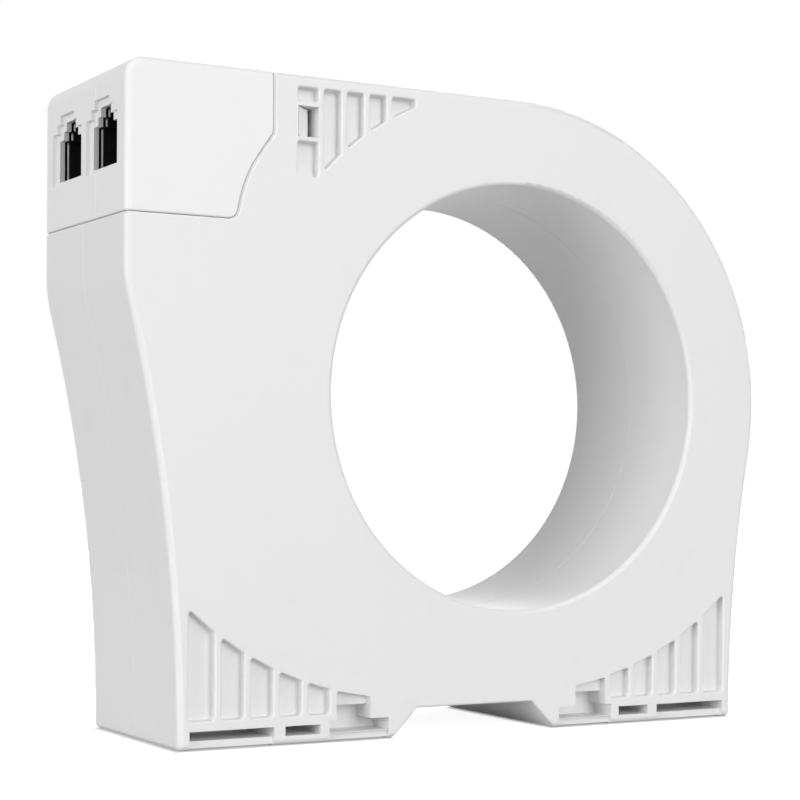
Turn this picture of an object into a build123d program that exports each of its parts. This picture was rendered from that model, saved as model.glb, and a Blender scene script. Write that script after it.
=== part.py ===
"""Window-type current transformer with a plug-on connector module.

The primary conductor passes through the round bore. A ring core with its winding sits round
the bore inside two moulded half housings. The module at the upper left carries two modular
jacks and slides off to the left once its two latches are pressed.

Frame: origin at the centre of the bore, half way through the depth. X to the right, Y from
the front to the rear face, Z up. All sizes in mm.
"""
import os
from math import atan2, cos, radians, sin, sqrt

from build123d import *

os.makedirs("parts", exist_ok=True)

# Housing
BORE_R = 35.0
DEPTH = 35.0
RING_WIDTH = 14.1
WALL = 2.0
SLEEVE_WALL = 2.0
SHOULDER_OUT = 20.6
BASE_DROP = 5.7
LEFT_FOOT_INSET = 8.9
RIGHT_FOOT_INSET = 4.7
LEG_SWEEP_R = 285.0
LEG_BEND_R = 22.0
TOP_CORNER_R = 3.0
FOOT_CORNER_R = 0.8
CHANNEL_FOOT_HALF = 15.5
CHANNEL_TOP_HALF = 11.0
CHANNEL_HEIGHT = 4.6
OUTER_EDGE_R = 1.0
BORE_EDGE_R = 0.75
SOLE_EDGE_R = 0.4
SEAM_EDGE_R = 0.3
PARTING_CHAMFER = 0.15
LIP_HEIGHT = 1.5
LIP_WALL = 0.9
LIP_PLAY = 0.1
FOOT_BLOCK_HEIGHT = 7.6

# Recessed pockets of the two feet, counted from the stepped pocket to the foot's outer edge
POCKET_DEPTH = 1.75
POCKET_RIB = 1.1
POCKET_CORNER_R = 0.7
POCKET_TOP_CORNER_R = 0.4
POCKET_MOUTH_R = 0.3
POCKET_FLOOR_R = 0.3
FOOT_POCKETS = 5
FOOT_POCKET_EDGE = 1.7
FOOT_POCKET_PITCH = 4.93
FOOT_POCKET_LAST_WIDTH = 4.38
FOOT_POCKET_RISE = 4.4
FOOT_POCKET_LOW = 3.87
FOOT_POCKET_HIGH = 17.05
FOOT_ARC_R = 57.5

# Stepped pocket and bracket slots in each foot
STEP_CELL_WIDTH = 6.1
STEP_CELL_RISE = 3.4
STEP_SHELF_RISE = 5.6
STEP_SHELF_DEPTH = 1.5
STEP_DEEP = 5.0
STEP_SLOT_EDGE = 0.8
STEP_SLOT_BEYOND = 1.2
STEP_SLOT_RISE = 1.5
SLOT_RISE = 1.4
SLOT_HEIGHT = 1.5
SLOT_DEPTH = 10.0
SLOT_EDGE = 1.9
LONG_SLOT = 14.2
SHORT_SLOT = 6.1
BAR_SETBACK = 0.6
BAR_LIFT = 0.3

# Seam between the housing and the module, from the left wall and down from the top
SEAM_GAP = 0.3
SEAM_TOP_IN = 24.4
SEAM_BEND_DROP = 9.5
SEAM_KNEE_IN = 19.7
SEAM_KNEE_DROP = 16.2
SEAM_FOOT_IN = 18.1
SEAM_LEDGE_DROP = 23.2
SEAM_BEND_R = 1.2
SEAM_KNEE_R = 18.0
SEAM_FOOT_R = 1.7

# Recessed pockets above the bore
TOP_POCKETS = 4
TOP_POCKET_DROP = 1.9
TOP_POCKET_PITCH = 4.05
TOP_POCKET_WIDTH = 3.0
TOP_POCKET_LAST_WIDTH = 4.2
TOP_POCKET_LAST_HEIGHT = 1.2
LATCH_COLUMN_IN = 4.05
LATCH_COLUMN_WIDTH = 3.55
LATCH_COLUMN_RIB = 1.0
UPPER_CELL_HEIGHT = 2.1
WINDOW_TOP_DROP = 4.8
WINDOW_HEIGHT = 4.8
LOWER_CELL_DROP = 10.3
LOWER_CELL_HEIGHT = 5.4

# Connector module
MODULE_WALL = 1.5
MODULE_SPLIT = 12.5
PORT_PITCH = 15.1
PORT_RISE = 7.85
PORT_HEIGHTS = (6.6, 7.9, 9.25)
PORT_WIDTHS = (10.0, 6.4, 4.1)
RECESS_DEPTH = 0.7
RECESS_BOTTOM_DROP = 0.7
RECESS_HEIGHTS = (8.4, 9.75, 11.1)
RECESS_WIDTHS = (12.9, 8.7, 6.1)

# Modular jacks
JACK_SETBACK = 0.4
JACK_LENGTH = 13.5
JACK_WIDTH = 12.6
JACK_HEIGHT = 12.8
JACK_FLOOR = 1.95
JACK_CAVITY_DEPTH = 11.0
JACK_RIM = 0.25
JACK_RIM_CHAMFER = 0.2
JACK_CONTACTS = 6
CONTACT_PITCH = 1.02
CONTACT_SIZE = 0.45
CONTACT_SLOT = 0.65
CONTACT_RISE = 1.7

# Circuit boards and the plug-in interface
BOARD_THICKNESS = 1.6
MODULE_BOARD_INSET = 2.1
MODULE_BOARD_LENGTH = 13.8
MODULE_BOARD_PLAY = 0.8
BOARD_LEDGE = 1.5
PLUG_NOSE_WIDTH = 12.0
PLUG_NOSE_HEIGHT = 4.0
PLUG_NOSE_REACH = 8.7
PLUG_FOOT_LENGTH = 6.2
PLUG_GAP = 0.3
BLADE_COUNT = 6
BLADE_PITCH = 1.6
BLADE_WIDTH = 0.9
BLADE_THICKNESS = 0.35
SOCKET_SETBACK = 4.8
SOCKET_WALL = 1.2
STANDOFF_HEIGHT = 5.9
STANDOFF_R = 2.5
STAKE_R = 1.0
STAKE_PLAY = 0.1
STAKE_HEAD = 0.8

# Latches
LATCH_ARM_THICKNESS = 1.4
LATCH_ARM_HEIGHT = 3.2
LATCH_SLOT_PLAY = 0.3
LATCH_REACH = 2.8
LATCH_ROOT_SETBACK = 3.5
LATCH_ROOT_LENGTH = 4.0
LATCH_HOOK_DROP = 0.2
LATCH_TIP_DROP = 2.4
LATCH_HOOK_HEIGHT = 4.5
LATCH_HOOK_PLAY = 0.15

# Ring core and winding, nested round the bore sleeve
RING_PLAY = 0.3
RING_CHAMFER = 2.2
WRAP_THICKNESS = 0.4
WINDING_THICKNESS = 1.3
CASE_WALL = 1.0
NEST_PLAY = 0.05
LEAD_R = 0.6
LEAD_BEND_R = 2.5
LEAD_TURN_IN = 13.7
LEAD_PLACES = ((-3.0, 4.0), (2.0, -3.0))

# The housing's board, from the left wall and the module's ledge
HOUSING_BOARD_POINTS = (
    (7.7, -31.9),
    (19.7, -31.9),
    (19.7, -10.9),
    (27.9, 1.1),
    (27.9, 7.6),
    (23.4, 7.6),
    (21.4, 2.6),
    (21.4, -2.6),
    (7.7, -2.6),
)
STANDOFF_POINTS = ((10.7, -28.4), (10.7, -5.9), (16.7, -28.4))
BURDEN_POINTS = ((12.7, -9.9), (12.7, -13.4), (12.7, -16.9))

# Small parts on the boards
CHIP_SIZE = (3.2, 1.6, 0.6)
MEMORY_SIZE = (4.0, 5.0, 1.5)
SMALL_PARTS_IN = 4.7
FILTER_YS = (-10.0, -6.5, 6.5, 10.0)

FRONT_Y = -DEPTH / 2
SLEEVE_R = BORE_R + SLEEVE_WALL
RING_R = BORE_R + RING_WIDTH
LEFT_X = -RING_R - SHOULDER_OUT
BASE_Z = -RING_R - BASE_DROP
ROOM_R = RING_R - WALL
ROOM_DEPTH = DEPTH - 2 * WALL
LEFT_FOOT_X = LEFT_X + LEFT_FOOT_INSET
RIGHT_FOOT_X = RING_R - RIGHT_FOOT_INSET
FEET_MID_X = (LEFT_FOOT_X + RIGHT_FOOT_X) / 2
FEET_HALF = (RIGHT_FOOT_X - LEFT_FOOT_X) / 2
FOOT_POCKET_BOTTOM = BASE_Z + FOOT_POCKET_RISE
FOOT_POCKET_END = FEET_HALF - FOOT_POCKET_EDGE
FOOT_POCKET_START = (
    FOOT_POCKET_END - FOOT_POCKET_LAST_WIDTH - (FOOT_POCKETS - 1) * FOOT_POCKET_PITCH
)
STEP_CELL_OUT = FOOT_POCKET_START - POCKET_RIB
STEP_CELL_IN = STEP_CELL_OUT - STEP_CELL_WIDTH
STEP_SLOT_SPAN = (CHANNEL_FOOT_HALF + STEP_SLOT_EDGE, STEP_CELL_OUT + STEP_SLOT_BEYOND)
LONG_SLOT_OUT = FEET_HALF - SLOT_EDGE
LONG_SLOT_SPAN = (LONG_SLOT_OUT - LONG_SLOT, LONG_SLOT_OUT)
SHORT_SLOT_OUT = LONG_SLOT_SPAN[0] - SLOT_EDGE
SHORT_SLOT_SPAN = (SHORT_SLOT_OUT - SHORT_SLOT, SHORT_SLOT_OUT)
SEAM_TOP_X = LEFT_X + SEAM_TOP_IN
SEAM_FOOT_X = LEFT_X + SEAM_FOOT_IN
SEAM_LEDGE_Z = RING_R - SEAM_LEDGE_DROP
LATCH_COLUMN = (SEAM_TOP_X + LATCH_COLUMN_IN, SEAM_TOP_X + LATCH_COLUMN_IN + LATCH_COLUMN_WIDTH)
TOP_POCKET_START_X = LATCH_COLUMN[1] + LATCH_COLUMN_RIB
TOP_POCKET_END_X = TOP_POCKET_START_X + (TOP_POCKETS - 1) * TOP_POCKET_PITCH + TOP_POCKET_LAST_WIDTH
POCKET_TOP_Z = RING_R - TOP_POCKET_DROP
TOP_ARC_R = sqrt(TOP_POCKET_END_X**2 + (POCKET_TOP_Z - TOP_POCKET_LAST_HEIGHT) ** 2)
WINDOW_TOP_Z = RING_R - WINDOW_TOP_DROP
WINDOW_MID_Z = WINDOW_TOP_Z - WINDOW_HEIGHT / 2
LATCH_ARM_Y = FRONT_Y + POCKET_DEPTH + WALL + LATCH_SLOT_PLAY
LATCH_TIP_X = LATCH_COLUMN[0] + LATCH_REACH
LATCH_ROOT_END_X = SEAM_TOP_X - LATCH_ROOT_SETBACK
PORT_YS = (-PORT_PITCH / 2, PORT_PITCH / 2)
PORT_BOTTOM_Z = SEAM_LEDGE_Z + PORT_RISE
JACK_FACE_X = LEFT_X + MODULE_WALL + JACK_SETBACK
MODULE_BOARD_TOP_Z = PORT_BOTTOM_Z - JACK_FLOOR
MODULE_BOARD_X = (LEFT_X + MODULE_BOARD_INSET, LEFT_X + MODULE_BOARD_INSET + MODULE_BOARD_LENGTH)
BOARD_UNDER_Z = MODULE_BOARD_TOP_Z - BOARD_THICKNESS
PLUG_TOP_Z = BOARD_UNDER_Z + PLUG_NOSE_HEIGHT / 2
PLUG_BOTTOM_Z = PLUG_TOP_Z - PLUG_NOSE_HEIGHT
PLUG_NOSE_END_X = SEAM_FOOT_X + PLUG_NOSE_REACH
SOCKET_FACE_X = SEAM_FOOT_X + SOCKET_SETBACK
BOARD_REAR_Y = DEPTH / 2 - WALL - STANDOFF_HEIGHT
HOUSING_BOARD_Y = BOARD_REAR_Y - BOARD_THICKNESS
CUT_BEYOND = 1.0
TOUCH = 0.01


def from_ledge(points):
    """Places given from the left wall and the module's ledge, in the housing's frame."""
    return [(LEFT_X + x, SEAM_LEDGE_Z + z) for x, z in points]


def prism(profile, y_from, y_to):
    """Extrude an X-Z profile along the depth."""
    plane = Plane(origin=(0, y_from, 0), x_dir=(1, 0, 0), z_dir=(0, -1, 0))
    return extrude(plane * profile, amount=y_to - y_from, dir=(0, 1, 0))


def side_prism(profile, x_from, x_to):
    """Extrude a Y-Z profile along the width."""
    plane = Plane(origin=(x_from, 0, 0), x_dir=(0, 1, 0), z_dir=(1, 0, 0))
    return extrude(plane * profile, amount=x_to - x_from, dir=(1, 0, 0))


def block(x_range, y_range, z_range):
    """A rectangular block between pairs of coordinates."""
    low = [min(r) for r in (x_range, y_range, z_range)]
    high = [max(r) for r in (x_range, y_range, z_range)]
    size = [h - l for l, h in zip(low, high)]
    return Pos(*[(h + l) / 2 for l, h in zip(low, high)]) * Box(*size)


def polygon(*points):
    """A filled X-Z or Y-Z polygon."""
    return make_face(Polyline(*points, close=True))


def housing_outline():
    """Front outline: ring on the right, square shoulder on the left, two swept feet."""
    # The right leg's sweep is tangent to the ring, which settles its radius
    right_sweep = (RIGHT_FOOT_X**2 + BASE_Z**2 - RING_R**2) / (2 * (RING_R - RIGHT_FOOT_X))
    centre = Vector(RIGHT_FOOT_X + right_sweep, BASE_Z)
    touch = centre * (RING_R / (RING_R + right_sweep))
    ring_angle = radians(90) + atan2(touch.Y, touch.X)
    ring_mid = Vector(RING_R * sin(ring_angle / 2), RING_R * cos(ring_angle / 2))
    half_rise = (touch.Y - BASE_Z) / 2
    right_mid = Vector(centre.X - sqrt(right_sweep**2 - half_rise**2), BASE_Z + half_rise)
    left_rise = sqrt(2 * LEG_SWEEP_R * LEFT_FOOT_INSET - LEFT_FOOT_INSET**2)
    bend = Vector(LEFT_X, BASE_Z + left_rise)
    left_mid_x = LEFT_FOOT_X - LEG_SWEEP_R + sqrt(LEG_SWEEP_R**2 - (left_rise / 2) ** 2)
    left_mid = Vector(left_mid_x, BASE_Z + left_rise / 2)
    channel_top = BASE_Z + CHANNEL_HEIGHT
    edges = [
        Line((LEFT_X, RING_R), (0, RING_R)),
        ThreePointArc((0, RING_R), (ring_mid.X, ring_mid.Y), (touch.X, touch.Y)),
        ThreePointArc((touch.X, touch.Y), (right_mid.X, right_mid.Y), (RIGHT_FOOT_X, BASE_Z)),
        Polyline(
            (RIGHT_FOOT_X, BASE_Z),
            (FEET_MID_X + CHANNEL_FOOT_HALF, BASE_Z),
            (FEET_MID_X + CHANNEL_TOP_HALF, channel_top),
            (FEET_MID_X - CHANNEL_TOP_HALF, channel_top),
            (FEET_MID_X - CHANNEL_FOOT_HALF, BASE_Z),
            (LEFT_FOOT_X, BASE_Z),
        ),
        ThreePointArc((LEFT_FOOT_X, BASE_Z), (left_mid.X, left_mid.Y), (bend.X, bend.Y)),
        Line((bend.X, bend.Y), (LEFT_X, RING_R)),
    ]
    face = make_face(edges)
    corners = (
        (bend.X, bend.Y, LEG_BEND_R),
        (LEFT_X, RING_R, TOP_CORNER_R),
        (LEFT_FOOT_X, BASE_Z, FOOT_CORNER_R),
        (RIGHT_FOOT_X, BASE_Z, FOOT_CORNER_R),
    )
    for x, z, radius in corners:
        face = fillet(face.vertices().sort_by_distance((x, z, 0))[0], radius)
    return face


def module_zone(growth):
    """The upper left corner that the module takes, up to its seam, grown by half the gap."""
    beyond = 20
    seam = FilletPolyline(
        (SEAM_TOP_X, RING_R + beyond),
        (SEAM_TOP_X, RING_R - SEAM_BEND_DROP),
        (LEFT_X + SEAM_KNEE_IN, RING_R - SEAM_KNEE_DROP),
        (SEAM_FOOT_X, SEAM_LEDGE_Z),
        (LEFT_X - beyond, SEAM_LEDGE_Z),
        radius=[SEAM_BEND_R, SEAM_KNEE_R, SEAM_FOOT_R],
    )
    rest = Polyline(
        (LEFT_X - beyond, SEAM_LEDGE_Z),
        (LEFT_X - beyond, RING_R + beyond),
        (SEAM_TOP_X, RING_R + beyond),
    )
    return offset(make_face([seam, rest]), amount=growth, kind=Kind.INTERSECTION)


def foot_arc_z(out):
    """Height of the arc that the foot pockets end on, through its low and its high end."""
    low = Vector(FOOT_POCKET_START, FOOT_POCKET_BOTTOM + FOOT_POCKET_LOW)
    chord = Vector(FOOT_POCKET_END, FOOT_POCKET_BOTTOM + FOOT_POCKET_HIGH) - low
    to_centre = sqrt(FOOT_ARC_R**2 - (chord.length / 2) ** 2)
    centre = low + chord / 2 + Vector(-chord.Y, chord.X).normalized() * to_centre
    return centre.Y - sqrt(FOOT_ARC_R**2 - (out - centre.X) ** 2)


def foot_pocket(inner, outer, bottom):
    """One foot pocket: three straight sides and a slanted top, measured outwards."""
    face = polygon(
        (inner, bottom), (outer, bottom), (outer, foot_arc_z(outer)), (inner, foot_arc_z(inner))
    )
    face = fillet(face.vertices().sort_by(Axis.Y)[:2], POCKET_CORNER_R)
    return fillet(face.vertices().sort_by(Axis.Y)[-2:], POCKET_TOP_CORNER_R)


def foot_profiles():
    """Every recess of one foot as (profile, depth), measured outwards from the middle."""
    recesses = []
    for index in range(FOOT_POCKETS):
        inner = FOOT_POCKET_START + index * FOOT_POCKET_PITCH
        outer = inner + FOOT_POCKET_PITCH - POCKET_RIB
        if index == FOOT_POCKETS - 1:
            outer = FOOT_POCKET_END
        recesses.append((foot_pocket(inner, outer, FOOT_POCKET_BOTTOM), POCKET_DEPTH))
    cell_bottom = BASE_Z + STEP_CELL_RISE
    shelf_z = BASE_Z + STEP_SHELF_RISE
    upper = foot_pocket(STEP_CELL_IN, STEP_CELL_OUT, shelf_z - POCKET_CORNER_R)
    recesses.append((upper, STEP_SHELF_DEPTH))
    recesses.append((span(STEP_CELL_IN, STEP_CELL_OUT, cell_bottom, shelf_z), STEP_DEEP))
    slot_bottom = BASE_Z + STEP_SLOT_RISE
    recesses.append((span(*STEP_SLOT_SPAN, slot_bottom, cell_bottom), STEP_DEEP))
    for ends in (LONG_SLOT_SPAN, SHORT_SLOT_SPAN):
        slot = span(*ends, BASE_Z + SLOT_RISE, BASE_Z + SLOT_RISE + SLOT_HEIGHT)
        recesses.append((slot, SLOT_DEPTH))
    for ends in (LONG_SLOT_SPAN, STEP_SLOT_SPAN):
        recesses.append((span(*ends, BASE_Z - WALL, BASE_Z + SLOT_RISE), BAR_SETBACK))
        recesses.append((span(*ends, BASE_Z - WALL, BASE_Z + BAR_LIFT), SLOT_DEPTH))
    return recesses


def span(x_from, x_to, z_from, z_to):
    """A rectangle between two pairs of coordinates."""
    return polygon((x_from, z_from), (x_to, z_from), (x_to, z_to), (x_from, z_to))


def top_profiles():
    """Recesses above the bore as profiles: the latch column and the slanted pockets."""
    lower_top = RING_R - LOWER_CELL_DROP
    column = [
        span(*LATCH_COLUMN, POCKET_TOP_Z - UPPER_CELL_HEIGHT, POCKET_TOP_Z),
        span(*LATCH_COLUMN, lower_top - LOWER_CELL_HEIGHT, lower_top),
    ]
    cells = [fillet(cell.vertices(), POCKET_TOP_CORNER_R) for cell in column]
    for index in range(TOP_POCKETS):
        left = TOP_POCKET_START_X + index * TOP_POCKET_PITCH
        last = index == TOP_POCKETS - 1
        right = left + (TOP_POCKET_LAST_WIDTH if last else TOP_POCKET_WIDTH)
        left_z, right_z = (sqrt(TOP_ARC_R**2 - x**2) for x in (left, right))
        slanted = polygon(
            (left, left_z), (right, right_z), (right, POCKET_TOP_Z), (left, POCKET_TOP_Z)
        )
        cells.append(fillet(slanted.vertices(), POCKET_TOP_CORNER_R))
    return cells


def window_profile():
    """The window in the latch column, open to the inside, that shows the latch."""
    return span(*LATCH_COLUMN, WINDOW_TOP_Z - WINDOW_HEIGHT, WINDOW_TOP_Z)


def placed_foot_profiles():
    """The foot recesses at both feet, as (profile, depth) in the housing's frame."""
    placed = []
    for profile, depth in foot_profiles():
        placed.append((Pos(FEET_MID_X, 0) * profile, depth))
        placed.append((Pos(FEET_MID_X, 0) * mirror(profile, Plane.YZ), depth))
    return placed


def front_edges(solid, y_face):
    """Edges that lie in the face plane at y_face."""
    return solid.edges().filter_by_position(Axis.Y, y_face - TOUCH, y_face + TOUCH)


def follows(profile, edge):
    """True where an edge lies over the outer border of a front profile."""
    middle = edge @ 0.5
    border = profile.faces()[0].outer_wire()
    return border.distance_to(Vertex(middle.X, middle.Z, 0)) < TOUCH


def on_sole(edge):
    """True for a straight edge of the feet's soles or of the channel between them."""
    middle = edge @ 0.5
    channel = abs(middle.X - FEET_MID_X) < CHANNEL_FOOT_HALF
    return middle.Z < BASE_Z + TOUCH or (channel and middle.Z < -ROOM_R)


def soften(solid, y_face):
    """Round the outer rim at one face, then the seam's rim with what continues it."""
    rims = [e for e in front_edges(solid, y_face) if follows(OUTLINE, e)]
    solid = fillet([e for e in rims if not on_sole(e)], OUTER_EDGE_R)
    sole = [e for e in front_edges(solid, y_face) if on_sole(e)]
    if sole:
        solid = fillet(sole, SOLE_EDGE_R)
    rims = front_edges(solid, y_face)
    sides = [module_zone(growth) for growth in (SEAM_GAP / 2, -SEAM_GAP / 2)]
    return fillet([e for e in rims if any(follows(side, e) for side in sides)], SEAM_EDGE_R)


def foot_block():
    """The solid band along the sole that the slots are cut into."""
    return span(LEFT_X, RING_R, BASE_Z, BASE_Z + FOOT_BLOCK_HEIGHT)


def room_profile():
    """Inside of the housing seen from the front, above the solid foot block."""
    inner = offset(HOUSING_PROFILE, amount=-WALL, kind=Kind.INTERSECTION)
    return inner - foot_block() - Circle(SLEEVE_R)


def half_housing():
    """Front half: outer skin, room for core and board, pockets, slots and window."""
    shell = prism(HOUSING_PROFILE - Circle(BORE_R), FRONT_Y, 0)
    rims = front_edges(shell, FRONT_Y).filter_by(GeomType.CIRCLE)
    shell = fillet(rims.sort_by(lambda e: abs(e.radius - BORE_R))[0], BORE_EDGE_R)
    shell = soften(shell, FRONT_Y)
    room = ROOM_PROFILE
    cavity = prism(room, FRONT_Y + WALL, 0)
    recesses = placed_foot_profiles()
    for profile, depth in recesses:
        if depth <= STEP_DEEP:
            behind = offset(profile, amount=WALL, kind=Kind.INTERSECTION)
            cavity -= prism(behind, FRONT_Y, FRONT_Y + depth + WALL)
    for profile in top_profiles() + [window_profile()]:
        behind = offset(profile, amount=WALL, kind=Kind.INTERSECTION)
        cavity -= prism(behind, FRONT_Y, FRONT_Y + POCKET_DEPTH + WALL)
    shell -= cavity
    for profile, depth in recesses:
        shell -= prism(profile, FRONT_Y - CUT_BEYOND, FRONT_Y + depth)
    pockets = [profile for profile, depth in recesses if depth == POCKET_DEPTH]
    for profile in top_profiles():
        shell -= prism(profile, FRONT_Y - CUT_BEYOND, FRONT_Y + POCKET_DEPTH)
        pockets.append(profile)
    for y_face, radius in ((FRONT_Y, POCKET_MOUTH_R), (FRONT_Y + POCKET_DEPTH, POCKET_FLOOR_R)):
        rims = front_edges(shell, y_face)
        shell = fillet([e for e in rims if any(follows(p, e) for p in pockets)], radius)
    shell -= prism(window_profile(), FRONT_Y - CUT_BEYOND, FRONT_Y + ROOM_DEPTH / 2)
    shell -= latch_passage()
    shell -= interface_passage()
    return shell


def latch_passage():
    """Slot in the side wall that the latch arm reaches through."""
    half = LATCH_ARM_HEIGHT / 2 + LATCH_SLOT_PLAY
    y_range = (LATCH_ARM_Y - LATCH_SLOT_PLAY, LATCH_ARM_Y + LATCH_ARM_THICKNESS + LATCH_SLOT_PLAY)
    x_range = (SEAM_TOP_X - 3 * MODULE_WALL, LATCH_COLUMN[0])
    return block(x_range, y_range, (WINDOW_MID_Z - half, WINDOW_MID_Z + half))


def interface_passage():
    """Opening through the facing walls that the plug nose passes."""
    half_width = PLUG_NOSE_WIDTH / 2 + PLUG_GAP
    x_range = (SEAM_FOOT_X - 2 * MODULE_WALL, SOCKET_FACE_X)
    z_range = (PLUG_BOTTOM_Z - PLUG_GAP, PLUG_TOP_Z + PLUG_GAP)
    return block(x_range, (-half_width, half_width), z_range)


def stepped(centre, bottom, widths, heights):
    """Stepped jack outline in Y and Z: the plug body below, its latch in two steps above."""
    right = []
    left = []
    low = bottom
    for width, height in zip(widths, heights):
        high = bottom + height
        right += [(centre + width / 2, low), (centre + width / 2, high)]
        left += [(centre - width / 2, low), (centre - width / 2, high)]
        low = high
    return polygon(*right, *reversed(left))


def module_cover(depth):
    """One moulded half of the module, open towards the split, built at the front face."""
    split_y = FRONT_Y + depth
    inner_y = FRONT_Y + MODULE_WALL
    cover = soften(prism(MODULE_PROFILE, FRONT_Y, split_y), FRONT_Y)
    split_rims = [e for e in front_edges(cover, split_y) if follows(OUTLINE, e)]
    cover = chamfer(split_rims, PARTING_CHAMFER)
    inside = offset(MODULE_PROFILE, amount=-MODULE_WALL, kind=Kind.INTERSECTION)
    cover -= prism(inside, inner_y, split_y)
    ledge_z = (BOARD_UNDER_Z - BOARD_LEDGE, BOARD_UNDER_Z)
    cover += block(MODULE_BOARD_X, (inner_y, inner_y + BOARD_LEDGE), ledge_z)
    for centre in PORT_YS:
        recess = stepped(centre, PORT_BOTTOM_Z - RECESS_BOTTOM_DROP, RECESS_WIDTHS, RECESS_HEIGHTS)
        cover -= side_prism(recess, LEFT_X - CUT_BEYOND, LEFT_X + RECESS_DEPTH)
        opening = stepped(centre, PORT_BOTTOM_Z, PORT_WIDTHS, PORT_HEIGHTS)
        cover -= side_prism(opening, LEFT_X - CUT_BEYOND, LEFT_X + MODULE_WALL)
    return cover - latch_passage() - interface_passage()


def latch():
    """Front latch: root on the module's inner face, arm behind the housing wall, hook."""
    z_range = (WINDOW_MID_Z - LATCH_ARM_HEIGHT / 2, WINDOW_MID_Z + LATCH_ARM_HEIGHT / 2)
    arm_back = LATCH_ARM_Y + LATCH_ARM_THICKNESS
    root_x = (LATCH_ROOT_END_X - LATCH_ROOT_LENGTH, LATCH_ROOT_END_X)
    arm = block((root_x[0], LATCH_TIP_X), (LATCH_ARM_Y, arm_back), z_range)
    root = block(root_x, (FRONT_Y + MODULE_WALL, arm_back), z_range)
    hook_x = LATCH_COLUMN[0] + LATCH_HOOK_PLAY
    profile = make_face(
        Polyline(
            (hook_x, FRONT_Y + LATCH_HOOK_DROP),
            (LATCH_TIP_X, FRONT_Y + LATCH_TIP_DROP),
            (LATCH_TIP_X, arm_back),
            (hook_x, arm_back),
            close=True,
        )
    )
    hook = Pos(0, 0, WINDOW_MID_Z - LATCH_HOOK_HEIGHT / 2) * extrude(profile, LATCH_HOOK_HEIGHT)
    return arm + root + hook


def nested_ring(step):
    """Closed ring with chamfered corners, one nesting step inside the housing's ring room."""
    r_in = SLEEVE_R + RING_PLAY + step
    r_out = ROOM_R - RING_PLAY - step
    half = ROOM_DEPTH / 2 - RING_PLAY - step
    section = Plane.XY * Pos((r_in + r_out) / 2, 0) * Rectangle(r_out - r_in, 2 * half)
    corner = RING_CHAMFER - (2 - sqrt(2)) * step
    return revolve(chamfer(section.vertices(), corner), Axis.Y)


def ring_shell(step, thickness):
    """Hollow ring: the nested ring at one step less the ring a thickness further in."""
    return nested_ring(step) - nested_ring(step + thickness)


def jack(centre):
    """Black jack housing with its stepped cavity and a comb of contact slots."""
    y_range = (centre - JACK_WIDTH / 2, centre + JACK_WIDTH / 2)
    z_range = (MODULE_BOARD_TOP_Z, MODULE_BOARD_TOP_Z + JACK_HEIGHT)
    body = block((JACK_FACE_X, JACK_FACE_X + JACK_LENGTH), y_range, z_range)
    widths = [w - 2 * JACK_RIM for w in PORT_WIDTHS]
    mouth = stepped(centre, PORT_BOTTOM_Z, widths, PORT_HEIGHTS)
    body -= side_prism(mouth, JACK_FACE_X, JACK_FACE_X + JACK_CAVITY_DEPTH)
    at_face = body.edges().filter_by_position(Axis.X, JACK_FACE_X - TOUCH, JACK_FACE_X + TOUCH)
    body = chamfer([e for e in at_face if on_mouth(e, centre)], JACK_RIM_CHAMFER)
    for y in jack_contact_places(centre):
        body -= contact_slot(y, (MODULE_BOARD_TOP_Z, PORT_BOTTOM_Z))
    return body


def on_mouth(edge, centre):
    """True for an edge of the jack's stepped mouth, false for its outer edges."""
    middle = edge @ 0.5
    inside_y = abs(middle.Y - centre) < JACK_WIDTH / 2 - TOUCH
    inside_z = TOUCH < middle.Z - MODULE_BOARD_TOP_Z < JACK_HEIGHT - TOUCH
    return inside_y and inside_z


def contact_offsets(count, pitch):
    """Evenly spaced places about the middle."""
    return [(index - (count - 1) / 2) * pitch for index in range(count)]


def jack_contact_places(centre):
    """Places of one jack's contacts across the module."""
    return [centre + y for y in contact_offsets(JACK_CONTACTS, CONTACT_PITCH)]


def contact_slot(y, z_range):
    """Slot that one contact wire comes up through, in the board or in the jack's floor."""
    half = CONTACT_SLOT / 2
    x_range = (JACK_FACE_X + CONTACT_SIZE, JACK_FACE_X + 3 * CONTACT_SIZE)
    return block(x_range, (y - half, y + half), z_range)


def jack_contact(y):
    """Spring wire: up from the board, over the floor and rising to the cavity's rear wall."""
    rear_x = JACK_FACE_X + JACK_CAVITY_DEPTH
    front_x = JACK_FACE_X + 2 * CONTACT_SIZE
    low = PORT_BOTTOM_Z + CONTACT_SIZE / 2
    run = Vector(rear_x - front_x, CONTACT_RISE)
    half = CONTACT_SIZE / 2
    normal = Vector(-run.Y, run.X).normalized() * half
    outline = polygon(
        (front_x - half, BOARD_UNDER_Z),
        (front_x + half, BOARD_UNDER_Z),
        (front_x + half, low - normal.Y + half * run.Y / run.X),
        (rear_x, low + CONTACT_RISE - half),
        (rear_x, low + CONTACT_RISE + half),
        (front_x - half, low + normal.Y),
    )
    return prism(outline, y - half, y + half)


def blades(x_range, z_range):
    """A row of flat contact blades of the interface."""
    half = BLADE_WIDTH / 2
    places = contact_offsets(BLADE_COUNT, BLADE_PITCH)
    return [block(x_range, (y - half, y + half), z_range) for y in places]


def lip_profile(width):
    """Strip of the given width just outside the room, for the joint between the halves."""
    outer = offset(HOUSING_PROFILE, amount=width - WALL, kind=Kind.INTERSECTION)
    sleeve_strip = Circle(SLEEVE_R) - Circle(SLEEVE_R - width)
    strip = outer - foot_block() - Circle(SLEEVE_R)
    return (strip - ROOM_PROFILE) + sleeve_strip


def parting_chamfer(half):
    """Break the outer and the bore's edges at the parting plane, which leaves a fine line."""
    rims = front_edges(half, 0)
    bore = [e for e in rims.filter_by(GeomType.CIRCLE) if abs(e.radius - BORE_R) < TOUCH]
    return chamfer(bore + [e for e in rims if follows(OUTLINE, e)], PARTING_CHAMFER)


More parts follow.
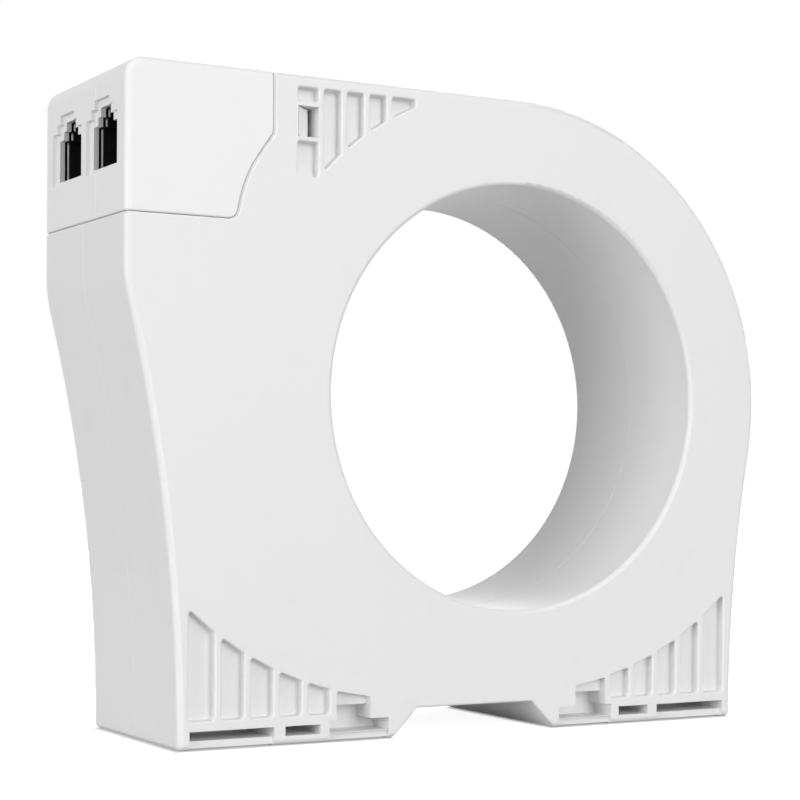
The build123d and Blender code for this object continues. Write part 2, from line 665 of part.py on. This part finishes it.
def housing_halves():
    """Both halves, joined half way through the depth by a tongue in a rebate."""
    half = parting_chamfer(half_housing())
    rebate = prism(lip_profile(LIP_WALL + LIP_PLAY), -LIP_HEIGHT - LIP_PLAY, 0)
    tongue = prism(lip_profile(LIP_WALL), -LIP_HEIGHT, 0) - interface_passage() - latch_passage()
    rear = mirror(half, Plane.XZ) + tongue
    for x, z in from_ledge(STANDOFF_POINTS):
        rear += prism(Pos(x, z) * Circle(STANDOFF_R), BOARD_REAR_Y, DEPTH / 2 - WALL)
        rear += prism(Pos(x, z) * Circle(STAKE_R), HOUSING_BOARD_Y - STAKE_HEAD, BOARD_REAR_Y)
    return {"front_housing": half - rebate, "rear_housing": rear}


def coil():
    """Core, case, winding and wrap, each nested in the next, and the two leads through the wrap."""
    winding_step = WRAP_THICKNESS + NEST_PLAY
    case_step = winding_step + WINDING_THICKNESS + NEST_PLAY
    core_step = case_step + CASE_WALL + NEST_PLAY
    wrap = ring_shell(0, WRAP_THICKNESS)
    lead_start_x = RING_PLAY + WRAP_THICKNESS - ROOM_R
    leads = []
    for y, z in LEAD_PLACES:
        corner = (LEFT_X + LEAD_TURN_IN, y, z)
        end = (LEFT_X + LEAD_TURN_IN, HOUSING_BOARD_Y, z)
        path = FilletPolyline((lead_start_x, y, z), corner, end, radius=LEAD_BEND_R)
        start = Plane(origin=path @ 0, z_dir=path % 0)
        leads.append(sweep(start * Circle(LEAD_R), path=path))
        wrap -= start * Cylinder(LEAD_R + NEST_PLAY, 4 * LEAD_R)
    case = ring_shell(case_step, CASE_WALL)
    front_space = prism(Rectangle(4 * RING_R, 4 * RING_R), -DEPTH, 0)
    return {
        "insulation_wrap": wrap,
        "secondary_winding": ring_shell(winding_step, WINDING_THICKNESS),
        "core_case_front": case & front_space,
        "core_case_rear": case - front_space,
        "ring_core": nested_ring(core_step),
        "winding_leads": Compound(children=leads),
    }


def housing_electronics():
    """Board on its pegs, the resistors on it and the socket that takes the module's plug."""
    board = prism(polygon(*from_ledge(HOUSING_BOARD_POINTS)), HOUSING_BOARD_Y, BOARD_REAR_Y)
    for x, z in from_ledge(STANDOFF_POINTS):
        board -= prism(Pos(x, z) * Circle(STAKE_R + STAKE_PLAY), HOUSING_BOARD_Y, BOARD_REAR_Y)
    length, width, height = CHIP_SIZE
    chip_y = HOUSING_BOARD_Y - height / 2
    resistors = [Pos(x, chip_y, z) * Box(length, height, width) for x, z in from_ledge(BURDEN_POINTS)]
    low, high = PLUG_BOTTOM_Z - PLUG_GAP, PLUG_TOP_Z + PLUG_GAP
    half_mouth = PLUG_NOSE_WIDTH / 2 + PLUG_GAP
    mouth_x = (SOCKET_FACE_X, PLUG_NOSE_END_X + PLUG_GAP)
    body_x = (SOCKET_FACE_X, mouth_x[1] + SOCKET_WALL)
    body_z = (low - SOCKET_WALL, high + SOCKET_WALL)
    springs = blades(mouth_x, (low - BLADE_THICKNESS, low))
    socket = block(body_x, (-HOUSING_BOARD_Y, HOUSING_BOARD_Y), body_z)
    socket -= block(mouth_x, (-half_mouth, half_mouth), (low, high))
    return {
        "housing_board": board,
        "burden_resistors": Compound(children=resistors),
        "interface_socket": socket - springs,
        "socket_contacts": Compound(children=springs),
    }


def module_electronics():
    """Board of the module with its plug, blades and small parts."""
    half_board = DEPTH / 2 - MODULE_WALL - MODULE_BOARD_PLAY
    board_z = (BOARD_UNDER_Z, MODULE_BOARD_TOP_Z)
    board = block(MODULE_BOARD_X, (-half_board, half_board), board_z)
    board_end_x = MODULE_BOARD_X[1]
    foot_x = board_end_x - PLUG_FOOT_LENGTH
    nose_y = (-PLUG_NOSE_WIDTH / 2, PLUG_NOSE_WIDTH / 2)
    plug = block((board_end_x, PLUG_NOSE_END_X), nose_y, (PLUG_BOTTOM_Z, PLUG_TOP_Z))
    plug += block((foot_x, board_end_x), nose_y, (PLUG_BOTTOM_Z, BOARD_UNDER_Z))
    tail_x = foot_x + BLADE_WIDTH
    blade_x = (tail_x, PLUG_NOSE_END_X - BLADE_WIDTH)
    flats = blades(blade_x, (PLUG_BOTTOM_Z, PLUG_BOTTOM_Z + BLADE_THICKNESS))
    tails = blades((tail_x, tail_x + BLADE_THICKNESS), (PLUG_BOTTOM_Z, MODULE_BOARD_TOP_Z))
    contacts = [flat + tail for flat, tail in zip(flats, tails)]
    for centre in PORT_YS:
        for y in jack_contact_places(centre):
            board -= contact_slot(y, board_z)
    chip_z = BOARD_UNDER_Z - CHIP_SIZE[2] / 2
    parts_x = LEFT_X + SMALL_PARTS_IN
    filters = [Pos(parts_x, y, chip_z) * Box(*CHIP_SIZE) for y in FILTER_YS]
    memory_z = BOARD_UNDER_Z - MEMORY_SIZE[2] / 2
    return {
        "interface_plug": plug - contacts,
        "plug_contacts": Compound(children=contacts),
        "module_board": board - tails,
        "filter_parts": Compound(children=filters),
        "memory_chip": Pos(parts_x, 0, memory_z) * Box(*MEMORY_SIZE),
    }


def module_jacks():
    """Both jacks with their contact wires."""
    nodes = {}
    for name, centre in zip(("front_jack", "rear_jack"), PORT_YS):
        wires = [jack_contact(y) for y in jack_contact_places(centre)]
        nodes[name] = jack(centre)
        nodes[name + "_contacts"] = Compound(children=wires)
    return nodes


def module_shell():
    """Both covers of the module and the latches moulded on inside them."""
    return {
        "module_front_cover": module_cover(MODULE_SPLIT),
        "module_rear_cover": mirror(module_cover(DEPTH - MODULE_SPLIT), Plane.XZ),
        "front_latch": latch(),
        "rear_latch": mirror(latch(), Plane.XZ),
    }


OUTLINE = housing_outline()
HOUSING_PROFILE = OUTLINE - module_zone(SEAM_GAP / 2)
MODULE_PROFILE = OUTLINE & module_zone(-SEAM_GAP / 2)
ROOM_PROFILE = room_profile()

for group in (
    housing_halves,
    coil,
    housing_electronics,
    module_shell,
    module_jacks,
    module_electronics,
):
    for name, shape in group().items():
        shape.label = name
        export_step(shape, f"parts/{name}.step")
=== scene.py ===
from math import radians, sin, tan, tau

import bmesh
import bpy
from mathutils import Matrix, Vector


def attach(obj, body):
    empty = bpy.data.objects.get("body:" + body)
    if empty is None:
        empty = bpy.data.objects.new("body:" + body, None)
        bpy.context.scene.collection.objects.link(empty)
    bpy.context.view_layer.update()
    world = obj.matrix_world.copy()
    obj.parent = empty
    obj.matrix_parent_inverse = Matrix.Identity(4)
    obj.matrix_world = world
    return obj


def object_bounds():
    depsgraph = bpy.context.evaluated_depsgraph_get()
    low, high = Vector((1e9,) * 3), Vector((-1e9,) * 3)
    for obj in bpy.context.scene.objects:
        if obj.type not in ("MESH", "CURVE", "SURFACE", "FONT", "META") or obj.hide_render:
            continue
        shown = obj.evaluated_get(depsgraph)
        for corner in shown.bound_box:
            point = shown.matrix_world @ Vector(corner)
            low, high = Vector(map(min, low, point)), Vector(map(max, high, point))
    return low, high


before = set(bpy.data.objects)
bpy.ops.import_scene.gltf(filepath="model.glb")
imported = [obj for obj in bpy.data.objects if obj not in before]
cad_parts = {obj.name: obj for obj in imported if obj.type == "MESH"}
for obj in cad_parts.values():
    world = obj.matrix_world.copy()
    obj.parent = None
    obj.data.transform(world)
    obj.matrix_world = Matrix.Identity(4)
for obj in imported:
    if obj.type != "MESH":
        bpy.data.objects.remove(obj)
cad_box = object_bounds()


# The ring core is a long strip of soft magnetic alloy wound into a ring, turn on turn. Its
# faces show the strip's edges as fine rings, and its outside is smooth, slightly mottled metal.
class Field:
    """A value that varies over a surface. Sums, differences and products add Math nodes."""

    def __init__(self, graph, socket):
        self.graph = graph
        self.socket = socket

    def combine(self, operation, first, second):
        return self.graph.node("ShaderNodeMath", {"operation": operation}, {0: first, 1: second})

    def __add__(self, other):
        return self.combine("ADD", self, other)

    def __sub__(self, other):
        return self.combine("SUBTRACT", self, other)

    def __rsub__(self, other):
        return self.combine("SUBTRACT", other, self)

    def __mul__(self, other):
        return self.combine("MULTIPLY", self, other)

    __radd__ = __add__
    __rmul__ = __mul__

    def __abs__(self):
        return self.combine("ABSOLUTE", self, 0.0)

    def at_least(self, other):
        """The larger of this and another."""
        return self.combine("MAXIMUM", self, other)


class Graph:
    """The nodes of one material or of the world."""

    def __init__(self, tree):
        self.tree = tree

    def node(self, kind, settings=None, inputs=None, output=0):
        """Add a node: its settings first, then the values or fields of its sockets."""
        made = self.tree.nodes.new(kind)
        for name, value in (settings or {}).items():
            setattr(made, name, value)
        for name, value in (inputs or {}).items():
            self.feed(made.inputs[name], value)
        return Field(self, made.outputs[output])

    def feed(self, socket, value):
        """Link a field to a socket, or set a plain value on it."""
        if isinstance(value, Field):
            self.tree.links.new(value.socket, socket)
        else:
            socket.default_value = value


class Finish(Graph):
    """The material of one kind of surface: constants on the shader, the rest from nodes."""

    def __init__(self, name, roughness, metallic=0.0, reflectance=0.5):
        self.material = bpy.data.materials.new(name)
        self.material.use_nodes = True
        super().__init__(self.material.node_tree)
        self.shader = self.tree.nodes["Principled BSDF"].inputs
        self.shader["Roughness"].default_value = roughness
        self.shader["Metallic"].default_value = metallic
        self.shader["Specular IOR Level"].default_value = reflectance
        self.place = self.node("ShaderNodeTexCoord", output="Object")

    def along(self, axis):
        """How far a point lies along X, Y or Z, in metres."""
        return self.node("ShaderNodeSeparateXYZ", inputs={0: self.place}, output=axis)

    def noise(self, per_metre, detail=2.0, place=None):
        """Soft random variation from 0 to 1, with so many features to a metre."""
        inputs = {"Vector": place or self.place, "Scale": per_metre, "Detail": detail}
        return self.node("ShaderNodeTexNoise", inputs=inputs)

    def ridges(self, amount):
        """Rise from 0 to 1 over one unit of a field, and fall back over the next."""
        return self.node("ShaderNodeMath", {"operation": "PINGPONG"}, {0: amount, 1: 1.0})

    def between(self, amount, low, high):
        """Map a field from the range low to high onto 0 to 1, smoothly."""
        inputs = {"Value": amount, "From Min": low, "From Max": high}
        return self.node("ShaderNodeMapRange", {"interpolation_type": "SMOOTHSTEP"}, inputs)

    def blend(self, amount, first, second):
        """Mix two colours."""
        inputs = {"Factor": amount, 6: first, 7: second}
        return self.node("ShaderNodeMix", {"data_type": "RGBA"}, inputs, output=2)

    def paint(self, amount, first, second):
        """Give the surface a colour between two, by a field."""
        self.feed(self.shader["Base Color"], self.blend(amount, first, second))

    def relief(self, height, depth, strength=1.0):
        """Raise the surface by a field that runs from 0 to 1, its full depth in metres."""
        inputs = {"Height": height, "Distance": depth, "Strength": strength}
        self.feed(self.shader["Normal"], self.node("ShaderNodeBump", inputs=inputs))

    def cover(self, *names):
        """Put this finish on CAD nodes."""
        for name in names:
            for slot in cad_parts[name].material_slots:
                slot.material = self.material


STRIP_STEEL = (0.50, 0.51, 0.53, 1)
STRIP_STEEL_DARK = (0.36, 0.37, 0.40, 1)
STRIPS_PER_METRE = 450
STRIP_RELIEF = 0.00003

core = Finish("wound core strip", roughness=0.34, metallic=1.0)
across, upward = core.along("X"), core.along("Z")
from_axis = core.node("ShaderNodeMath", {"operation": "SQRT"},
                      {0: across * across + upward * upward})
turns = core.ridges(from_axis * (2 * STRIPS_PER_METRE))
core.paint(turns * 0.5 + core.noise(per_metre=160) * 0.5, STRIP_STEEL_DARK, STRIP_STEEL)
core.relief(turns, STRIP_RELIEF)
core.cover("ring_core")


# The core case is two moulded half rings of natural polyamide that keep the winding's pull off
# the core. They are slightly yellow, matt and faintly cloudy, and are held by the winding alone.
CLOUDY = (0.78, 0.75, 0.64, 1)
CLEARER = (0.83, 0.80, 0.70, 1)
CASE_TEXTURE = 0.00001

case = Finish("natural polyamide", roughness=0.55)
case.paint(case.noise(per_metre=60), CLOUDY, CLEARER)
case.relief(case.noise(per_metre=2500), CASE_TEXTURE)
case.cover("core_case_front", "core_case_rear")


# The secondary winding is hundreds of turns of enamelled copper wire side by side round the
# cased core. The turns run across the ring, so they show as fine radial ridges all round it.
TURNS = 420
BETWEEN_WIRES = (0.40, 0.14, 0.05, 1)
ENAMELLED_COPPER = (0.80, 0.38, 0.16, 1)
WIRE_RELIEF = 0.0001


def round_ring(finish):
    """The angle of a point round the bore's axis."""
    return finish.node("ShaderNodeMath", {"operation": "ARCTAN2"},
                       {0: finish.along("Z"), 1: finish.along("X")})


winding = Finish("enamelled copper wire", roughness=0.3, metallic=0.85)
waves = winding.node("ShaderNodeMath", {"operation": "SINE"}, {0: round_ring(winding) * TURNS})
wires = waves * 0.5 + 0.5
winding.paint(wires * 0.7 + winding.noise(per_metre=300) * 0.3, BETWEEN_WIRES, ENAMELLED_COPPER)
winding.relief(wires, WIRE_RELIEF)
winding.cover("secondary_winding")


# The wrap is a thin amber polyester tape wound over the finished coil with each turn half over
# the last, so its laps lie as shallow slanting steps. Its own adhesive holds it.
LAPS = 46
AMBER_DEEP = (0.62, 0.40, 0.07, 1)
AMBER = (0.86, 0.62, 0.18, 1)
LAP_STEP = 0.00006

wrap = Finish("amber polyester tape", roughness=0.28)
laps = wrap.node("ShaderNodeMath", {"operation": "FRACT"}, {0: round_ring(wrap) * (LAPS / tau)})
wrap.paint(laps * 0.6 + wrap.noise(per_metre=220) * 0.4, AMBER_DEEP, AMBER)
wrap.relief(laps, LAP_STEP)
wrap.cover("insulation_wrap")


# Two insulated leads carry the winding's ends through the wrap to the board. They are soft
# red-brown sleeved strand, slightly uneven in the light, and soldered at the board.
SLEEVE_DARK = (0.50, 0.06, 0.04, 1)
SLEEVE = (0.62, 0.09, 0.06, 1)
SLEEVE_TEXTURE = 0.00002

lead = Finish("lead sleeve", roughness=0.42)
lead.paint(lead.noise(per_metre=700), SLEEVE_DARK, SLEEVE)
lead.relief(lead.noise(per_metre=4000), SLEEVE_TEXTURE)
lead.cover("winding_leads")


# Both circuit boards are glass-fibre laminate under green solder resist. The weave shows faintly
# through the resist as a fine grain. They rest on pegs and ledges inside the mouldings.
RESIST_DARK = (0.012, 0.11, 0.05, 1)
RESIST = (0.025, 0.17, 0.08, 1)
WEAVE_SCALE = 283.333
WEAVE_RELIEF = 0.00001

board = Finish("solder resist", roughness=0.33)
weave = board.node("ShaderNodeTexWave", inputs={"Vector": board.place, "Scale": WEAVE_SCALE})
board.paint(weave * 0.4 + board.noise(per_metre=90) * 0.6, RESIST_DARK, RESIST)
board.relief(weave, WEAVE_RELIEF)
board.cover("housing_board", "module_board")


# The small parts on the boards are surface-mount bodies in dark moulding compound, matt and
# very finely grained, soldered flat on the resist.
COMPOUND_DARK = (0.022, 0.022, 0.024, 1)
COMPOUND = (0.045, 0.045, 0.048, 1)
COMPOUND_GRAIN = 0.000008

chips = Finish("moulding compound", roughness=0.6)
chips.paint(chips.noise(per_metre=900), COMPOUND_DARK, COMPOUND)
chips.relief(chips.noise(per_metre=9000), COMPOUND_GRAIN)
chips.cover("burden_resistors", "filter_parts", "memory_chip")


# The contact blades and spring wires are stamped or drawn copper alloy under a thin coat of
# gold. The drawing leaves fine lines along them, and they are pressed into their insulators.
GOLD_DEEP = (0.72, 0.50, 0.20, 1)
GOLD = (0.90, 0.68, 0.32, 1)
LENGTHWISE = (0.1, 1.0, 1.0)
DRAWN_LINES = 0.00001

gold = Finish("gold plating", roughness=0.22, metallic=1.0)
stretch = gold.node("ShaderNodeVectorMath", {"operation": "MULTIPLY"},
                    {0: gold.place, 1: LENGTHWISE})
drawn = gold.noise(per_metre=9000, place=stretch)
gold.paint(drawn, GOLD_DEEP, GOLD)
gold.relief(drawn, DRAWN_LINES)
gold.cover("plug_contacts", "socket_contacts", "front_jack_contacts", "rear_jack_contacts")


# The two modular jacks, the interface plug and its socket are glossy black polyester mouldings.
# Their faces are smooth with a slight swirl from the mould, and they stand on the boards.
BLACK = (0.008, 0.008, 0.009, 1)
BLACK_WORN = (0.016, 0.016, 0.017, 1)
SWIRL = 0.00001

jacks = Finish("black polyester", roughness=0.3)
jacks.paint(jacks.noise(per_metre=400), BLACK, BLACK_WORN)
jacks.feed(jacks.shader["Roughness"], jacks.noise(per_metre=700) * 0.14 + 0.24)
jacks.relief(jacks.noise(per_metre=3500), SWIRL)
jacks.cover("front_jack", "rear_jack", "interface_plug", "interface_socket")


# The two housing halves are moulded in light grey polycarbonate with a fine satin texture from
# the eroded mould. They meet in the middle of the depth, and handling has left faint marks.
HOUSING_LIGHT = (0.835, 0.835, 0.832, 1)
HOUSING_DARK = (0.800, 0.800, 0.797, 1)
SATIN_TEXTURE = 0.00002


def satin_plastic(name, light, dark):
    """Light grey moulded plastic: even colour, fine texture, faint handling marks."""
    finish = Finish(name, roughness=0.5, reflectance=0.4)
    broad = finish.noise(per_metre=22, detail=3.0)
    marks = finish.between(finish.noise(per_metre=130, detail=6.0), low=0.60, high=0.74)
    finish.paint(broad * 0.7 + marks * 0.3, light, dark)
    finish.feed(finish.shader["Roughness"], broad * 0.08 + marks * 0.06 + 0.42)
    finish.relief(finish.noise(per_metre=3200, detail=3.0), SATIN_TEXTURE, strength=0.5)
    return finish


housing = satin_plastic("housing plastic", HOUSING_LIGHT, HOUSING_DARK)
housing.cover("front_housing", "rear_housing")


# Along the seam the housing's edge carries a fine tongue, moulded in one with it. It lies just
# below the rounded edges and nearly closes the joint from inside, where only a hairline is left.
LEFT_WALL = -0.0697
HOUSING_TOP = 0.0491
HALF_DEPTH = 0.0175
SEAM_UPRIGHT = -0.0453
KNEE_TOP = 0.0396
KNEE_FOOT = (-0.0500, 0.0329)
LEDGE_START = -0.0516
SEAM_LEDGE = 0.0259
CORNER_RADII = (0.0012, 0.018, 0.0017)
CURVE_STEPS = 8
TONGUE_BELOW = 0.0003
TONGUE_WIDTH = 0.0010
TONGUE_FROM = 0.00015
TONGUE_TO = -0.00005


def rounded(places, radii):
    """Points along a line of straight runs whose corners are rounded."""
    line = [places[0]]
    for before, corner, after, radius in zip(places, places[1:], places[2:], radii):
        back, ahead = (before - corner).normalized(), (after - corner).normalized()
        half = back.angle(ahead) / 2
        centre = corner + (back + ahead).normalized() * radius / sin(half)
        start, end = (corner + way * radius / tan(half) - centre for way in (back, ahead))
        for step in range(CURVE_STEPS + 1):
            share = step / CURVE_STEPS
            line.append(centre + start.lerp(end, share).normalized() * radius)
    return line + [places[-1]]


def tongue_strip(shape, line, y_from, y_to):
    """Add a closed strip along a line in X and Z, between two depths."""
    rings = []
    for index, place in enumerate(line):
        way = (line[min(index + 1, len(line) - 1)] - line[max(index - 1, 0)]).normalized()
        side = Vector((-way.y, way.x))
        sides = [place + side * out for out in (TONGUE_FROM, TONGUE_TO)]
        corners = [(sides[0], y_from), (sides[0], y_to), (sides[1], y_to), (sides[1], y_from)]
        rings.append([shape.verts.new((spot.x, y, spot.y)) for spot, y in corners])
    for ring, following in zip(rings, rings[1:]):
        for corner in range(4):
            beside = (corner + 1) % 4
            shape.faces.new((ring[corner], ring[beside], following[beside], following[corner]))
    shape.faces.new(rings[0][::-1])
    shape.faces.new(rings[-1])


top_end = Vector((SEAM_UPRIGHT, HOUSING_TOP - TONGUE_BELOW))
left_end = Vector((LEFT_WALL + TONGUE_BELOW, SEAM_LEDGE))
bends = [Vector((SEAM_UPRIGHT, KNEE_TOP)), Vector(KNEE_FOOT), Vector((LEDGE_START, SEAM_LEDGE))]
seam = rounded([top_end, *bends, left_end], CORNER_RADII)
face = HALF_DEPTH - TONGUE_BELOW
inner = face - TONGUE_WIDTH
shape = bmesh.new()
tongue_strip(shape, seam, -face, -inner)
tongue_strip(shape, seam, inner, face)
tongue_strip(shape, [top_end, top_end - Vector((0, TONGUE_WIDTH))], -inner, inner)
tongue_strip(shape, [left_end + Vector((TONGUE_WIDTH, 0)), left_end], -inner, inner)
bmesh.ops.recalc_face_normals(shape, faces=shape.faces)
tongue_mesh = bpy.data.meshes.new("seam_tongue")
shape.to_mesh(tongue_mesh)
tongue_mesh.materials.append(housing.material)
tongue = bpy.data.objects.new("seam_tongue", tongue_mesh)
bpy.context.scene.collection.objects.link(tongue)
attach(tongue, "housing")


# The module's two covers are the same plastic from another mould, a shade lighter. They clip
# together round the board and the jacks, and their seam to the housing is a fine open line.
MODULE_LIGHT = (0.875, 0.875, 0.872, 1)
MODULE_DARK = (0.845, 0.845, 0.842, 1)

module = satin_plastic("module plastic", MODULE_LIGHT, MODULE_DARK)
module.cover("module_front_cover", "module_rear_cover")


# Each latch is an arm of plastic with a sloping hook that snaps into the window beside the seam.
# Its colour is painted paler than the housing's: painted light on the hook in the window's
# shade.
# The slope keeps the fine upright lines of the cutter that made its mould.
# Painted light: both latch colours are set paler than the housing's to lighten the shaded hook.
LATCH_BRIGHTENED = (0.930, 0.930, 0.927, 1)
LATCH_BRIGHTENED_DARK = (0.890, 0.890, 0.887, 1)
CUTTER_LINES_PER_METRE = 1300
CUTTER_RELIEF = 0.00004

latch = satin_plastic("latch plastic painted lighter", LATCH_BRIGHTENED, LATCH_BRIGHTENED_DARK)
latch.relief(latch.ridges(latch.along("X") * (2 * CUTTER_LINES_PER_METRE)), CUTTER_RELIEF)
latch.cover("front_latch", "rear_latch")


# The floor is a large pale sheet. It shows as plain white, so part of its white is its own for
# whatever sees it as a background. Round the feet its own white turns grey: a painted contact
# shadow.
FLOOR_HALF = 40.0
FLOOR_GREY = (0.45, 0.45, 0.45, 1)
FLOOR_PALER = (0.47, 0.47, 0.47, 1)
FLOOR_OWN_WHITE = 0.90
# The grey of the painted contact shadow, and below, the width over which it fades out.
PAINTED_CONTACT_SHADOW = (0.35, 0.35, 0.35, 1)
WHITE = (1, 1, 1, 1)
FEET_MIDDLE = (-0.0087, -0.0010)
FEET_REACH = (0.0521, 0.0165)
CHANNEL_REACH = 0.0155
PAINTED_SHADOW_WIDTH = 0.0015


def as_background(graph):
    """1 for what sees a thing as the background: the camera, or a mirror or glass."""
    rays = ("Is Camera Ray", "Is Glossy Ray", "Is Transmission Ray")
    seen, mirrored, refracted = (graph.node("ShaderNodeLightPath", output=ray) for ray in rays)
    return seen + mirrored + refracted


sole = cad_box[0][2]
corners = [(-FLOOR_HALF, -FLOOR_HALF, sole), (FLOOR_HALF, -FLOOR_HALF, sole),
           (FLOOR_HALF, FLOOR_HALF, sole), (-FLOOR_HALF, FLOOR_HALF, sole)]
floor_mesh = bpy.data.meshes.new("floor")
floor_mesh.from_pydata(corners, [], [(0, 1, 2, 3)])
floor = bpy.data.objects.new("floor", floor_mesh)
bpy.context.scene.collection.objects.link(floor)
pale = Finish("pale floor", roughness=0.9, reflectance=0.1)
pale.paint(pale.noise(per_metre=8), FLOOR_GREY, FLOOR_PALER)
across = abs(pale.along("X") - FEET_MIDDLE[0])
inward = abs(pale.along("Y") - FEET_MIDDLE[1])
beside_feet = (across - FEET_REACH[0]).at_least(CHANNEL_REACH - across)
# Painted contact shadow: within a narrow band round the feet the floor's own white blends to
# grey.
clear_of_painted_shadow = pale.between(beside_feet.at_least(inward - FEET_REACH[1]), 0.0, PAINTED_SHADOW_WIDTH)
pale.feed(pale.shader["Emission Color"], pale.blend(clear_of_painted_shadow, PAINTED_CONTACT_SHADOW, WHITE))
pale.feed(pale.shader["Emission Strength"], as_background(pale) * FLOOR_OWN_WHITE)
floor_mesh.materials.append(pale.material)


# The studio light is an even white surround and four soft boxes: two before the front face,
# one at the left that grazes it and a weaker one behind. The camera sees plain white behind.
SURROUND = 0.38

world = bpy.data.worlds.new("studio")
bpy.context.scene.world = world
world.use_nodes = True
studio = Graph(world.node_tree)
backdrop = world.node_tree.nodes["Background"].inputs
studio.feed(backdrop["Color"], WHITE)
studio.feed(backdrop["Strength"], as_background(studio) * (1.0 - SURROUND) + SURROUND)


def soft_box(name, place, size, watts):
    """A square area lamp that faces the middle of the object."""
    lamp = bpy.data.lights.new(name, "AREA")
    lamp.size = size
    lamp.energy = watts
    box = bpy.data.objects.new(name, lamp)
    bpy.context.scene.collection.objects.link(box)
    box.location = place
    box.rotation_euler = (-Vector(place)).to_track_quat("-Z", "Y").to_euler()


soft_box("high box", place=(0.3, -1.3, 1.0), size=0.8, watts=3.0)
soft_box("front box", place=(0.1, -1.5, 0.3), size=0.8, watts=10.4)
soft_box("left box", place=(-1.45, -0.42, 0.2), size=0.6, watts=10.2)
soft_box("rear box", place=(1.1, 1.2, 0.7), size=0.8, watts=6.0)


# The camera stands low at the left, level with the lower half, with a long lens. The lens is
# shifted up so that the object's uprights stay upright in the picture.
CAMERA_PLACE = (-0.180884, -0.297499, -0.0137501)
CAMERA_TILT, CAMERA_ROLL, CAMERA_TURN = 89.624, -0.39986, -29.7808

camera_data = bpy.data.cameras.new("camera")
camera_data.lens = 90.7022
camera_data.shift_x = -0.0143346
camera_data.shift_y = 0.117459
camera_data.clip_start = 0.01
camera = bpy.data.objects.new("camera", camera_data)
camera.location = CAMERA_PLACE
camera.rotation_euler = (radians(CAMERA_TILT), radians(CAMERA_ROLL), radians(CAMERA_TURN))
bpy.context.scene.collection.objects.link(camera)
bpy.context.scene.camera = camera
bpy.context.scene.view_settings.view_transform = "Standard"
